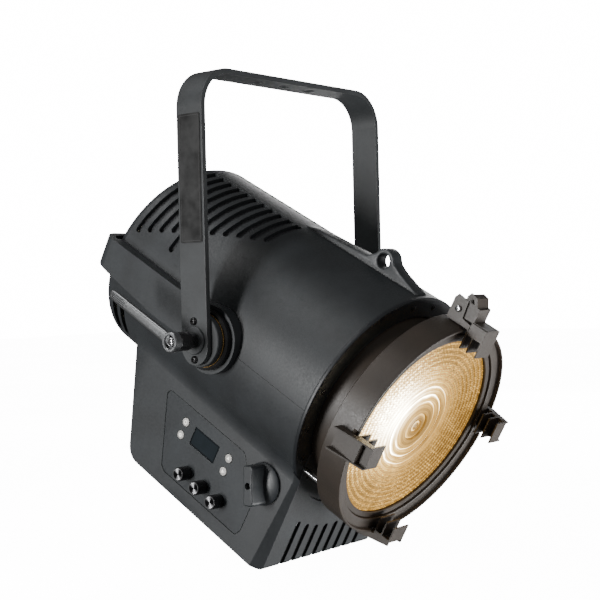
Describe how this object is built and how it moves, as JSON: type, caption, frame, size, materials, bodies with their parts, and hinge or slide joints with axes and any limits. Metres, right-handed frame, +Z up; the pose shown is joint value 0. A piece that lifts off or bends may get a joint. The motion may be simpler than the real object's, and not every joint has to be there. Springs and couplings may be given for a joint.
{
  "type": "fresnel spotlight",
  "caption": "Fresnel stage and studio spotlight with a cylindrical finned head on a boxed base, hung in a tilting yoke, with a zooming stepped lens ring and accessory clips.",
  "frame": {"origin": "centre of the middle hanging hole, on the top face of the yoke's bar", "axes": "+Z up along the yoke; X along the tilt axis, control face on the -X side; the lens looks towards -Y and 29.5 degrees down at rest"},
  "size_m": [0.3679, 0.5042, 0.5519],
  "materials": {
    "yoke_paint": "fine satin powder coat",
    "label_black": "satin printed film, blank",
    "body_paint": "fine textured powder coat",
    "dark_paint": "satin black paint",
    "bronze_paint": "satin dark bronze paint",
    "black_plastic": "semi-gloss moulded",
    "panel_plastic": "satin film",
    "display_glass": "clear dark window",
    "button_pale": "satin moulded",
    "board_green": "solder mask",
    "brass_ring": "turned",
    "chrome_part": "polished",
    "steel_part": "satin",
    "cast_aluminium": "bare cast and folded",
    "lens_glass": "stepped and stippled",
    "led_phosphor": "yellow phosphor over the emitter"
  },
  "bodies": {
    "yoke": {"yoke": "yoke_paint", "rating_label": "label_black", "friction_plate_left": "yoke_paint", "friction_plate_right": "yoke_paint", "arm_washer_left": "yoke_paint", "arm_washer_right": "yoke_paint", "arm_screw_left_upper": "dark_paint", "arm_screw_left_lower": "dark_paint", "arm_screw_right_upper": "dark_paint", "arm_screw_right_lower": "dark_paint"},
    "lock_lever": {"lock_lever": "steel_part", "lever_hub": "black_plastic", "lever_screw": "chrome_part"},
    "head": {"brass_washer_left": "brass_ring", "brass_washer_right": "brass_ring", "pivot_disc_left": "black_plastic", "pivot_disc_right": "black_plastic", "pivot_stud_left": "steel_part", "pivot_bolt_right": "steel_part", "upper_shell": "body_paint", "lower_shell": "body_paint", "base_plate": "dark_paint", "rear_cap": "body_paint", "power_inlet": "black_plastic", "signal_in": "black_plastic", "signal_out": "black_plastic", "front_flange": "dark_paint", "handle": "body_paint", "vent_screen": "dark_paint", "control_panel": "panel_plastic", "display_window": "display_glass", "control_board": "board_green", "led_module": "led_phosphor", "heatsink": "cast_aluminium", "fan_frame": "black_plastic", "power_supply": "cast_aluminium"},
    "button_back_upper": {"button_back_upper": "button_pale"},
    "button_back_lower": {"button_back_lower": "button_pale"},
    "button_front_upper": {"button_front_upper": "button_pale"},
    "button_front_lower": {"button_front_lower": "button_pale"},
    "encoder_knob_1": {"encoder_knob_1": "black_plastic"},
    "encoder_knob_2": {"encoder_knob_2": "black_plastic"},
    "encoder_knob_3": {"encoder_knob_3": "black_plastic"},
    "zoom_knob": {"zoom_knob": "black_plastic", "zoom_shaft": "steel_part"},
    "lens_carriage": {"lens_tube": "dark_paint", "lens_ring": "bronze_paint", "lens_retainer": "bronze_paint", "fresnel_lens": "lens_glass", "guide_rod_left": "chrome_part", "guide_rod_right": "chrome_part", "zoom_rack": "steel_part", "clip_left": "bronze_paint", "clip_right": "bronze_paint", "clip_bottom": "bronze_paint", "clip_top": "bronze_paint", "latch_pin": "chrome_part", "latch_spring": "steel_part"},
    "latch_flap": {"latch_flap": "dark_paint"},
    "fan_rotor": {"fan_rotor": "black_plastic"}
  },
  "joints": [
    {"name": "head_tilt", "type": "hinge", "parent": "yoke", "child": "head", "pos_m": [0, 0, -0.295], "axis": [1, 0, 0], "range_deg": [-64.5, 55.5]},
    {"name": "lock_lever_turn", "type": "hinge", "parent": "yoke", "child": "lock_lever", "pos_m": [-0.19, 0, -0.295], "axis": [1, 0, 0], "range_deg": [-45, 45]},
    {"name": "zoom_slide", "type": "slide", "parent": "head", "child": "lens_carriage", "axis": [0, -0.8704, -0.4924], "range_m": [-0.016, 0.017]},
    {"name": "zoom_knob_turn", "type": "hinge", "parent": "head", "child": "zoom_knob", "pos_m": [-0.10106, -0.0429, -0.45373], "axis": [0.9992, 0.0192, -0.0339], "range_deg": [-96, 102]},
    {"name": "latch_flap_turn", "type": "hinge", "parent": "lens_carriage", "child": "latch_flap", "pos_m": [0, -0.24219, -0.26658], "axis": [-1, 0, 0], "range_deg": [0, 80], "stiffness_Nm_per_rad": 0.05, "springref_deg": -28.65},
    {"name": "fan_spin", "type": "hinge", "parent": "head", "child": "fan_rotor", "pos_m": [0, 0.10705, -0.23443], "axis": [0, -0.8704, -0.4924], "continuous": true},
    {"name": "button_back_upper_press", "type": "slide", "parent": "head", "child": "button_back_upper", "axis": [0.9992, 0.0192, -0.0339], "range_m": [0, 0.0008], "stiffness_N_per_m": 500, "springref_m": -0.0005},
    {"name": "button_back_lower_press", "type": "slide", "parent": "head", "child": "button_back_lower", "axis": [0.9992, 0.0192, -0.0339], "range_m": [0, 0.0008], "stiffness_N_per_m": 500, "springref_m": -0.0005},
    {"name": "button_front_upper_press", "type": "slide", "parent": "head", "child": "button_front_upper", "axis": [0.9992, 0.0192, -0.0339], "range_m": [0, 0.0008], "stiffness_N_per_m": 500, "springref_m": -0.0005},
    {"name": "button_front_lower_press", "type": "slide", "parent": "head", "child": "button_front_lower", "axis": [0.9992, 0.0192, -0.0339], "range_m": [0, 0.0008], "stiffness_N_per_m": 500, "springref_m": -0.0005},
    {"name": "encoder_1_turn", "type": "hinge", "parent": "head", "child": "encoder_knob_1", "pos_m": [-0.10517, 0.07215, -0.45054], "axis": [-0.9992, -0.0192, 0.0339], "continuous": true},
    {"name": "encoder_2_turn", "type": "hinge", "parent": "head", "child": "encoder_knob_2", "pos_m": [-0.10517, 0.0476, -0.46443], "axis": [-0.9992, -0.0192, 0.0339], "continuous": true},
    {"name": "encoder_3_turn", "type": "hinge", "parent": "head", "child": "encoder_knob_3", "pos_m": [-0.10517, 0.02315, -0.47827], "axis": [-0.9992, -0.0192, 0.0339], "continuous": true}
  ],
  "couplings": [
    {"joint": "zoom_knob_turn", "follows": "zoom_slide", "rad_per_m": 104.17}
  ]
}
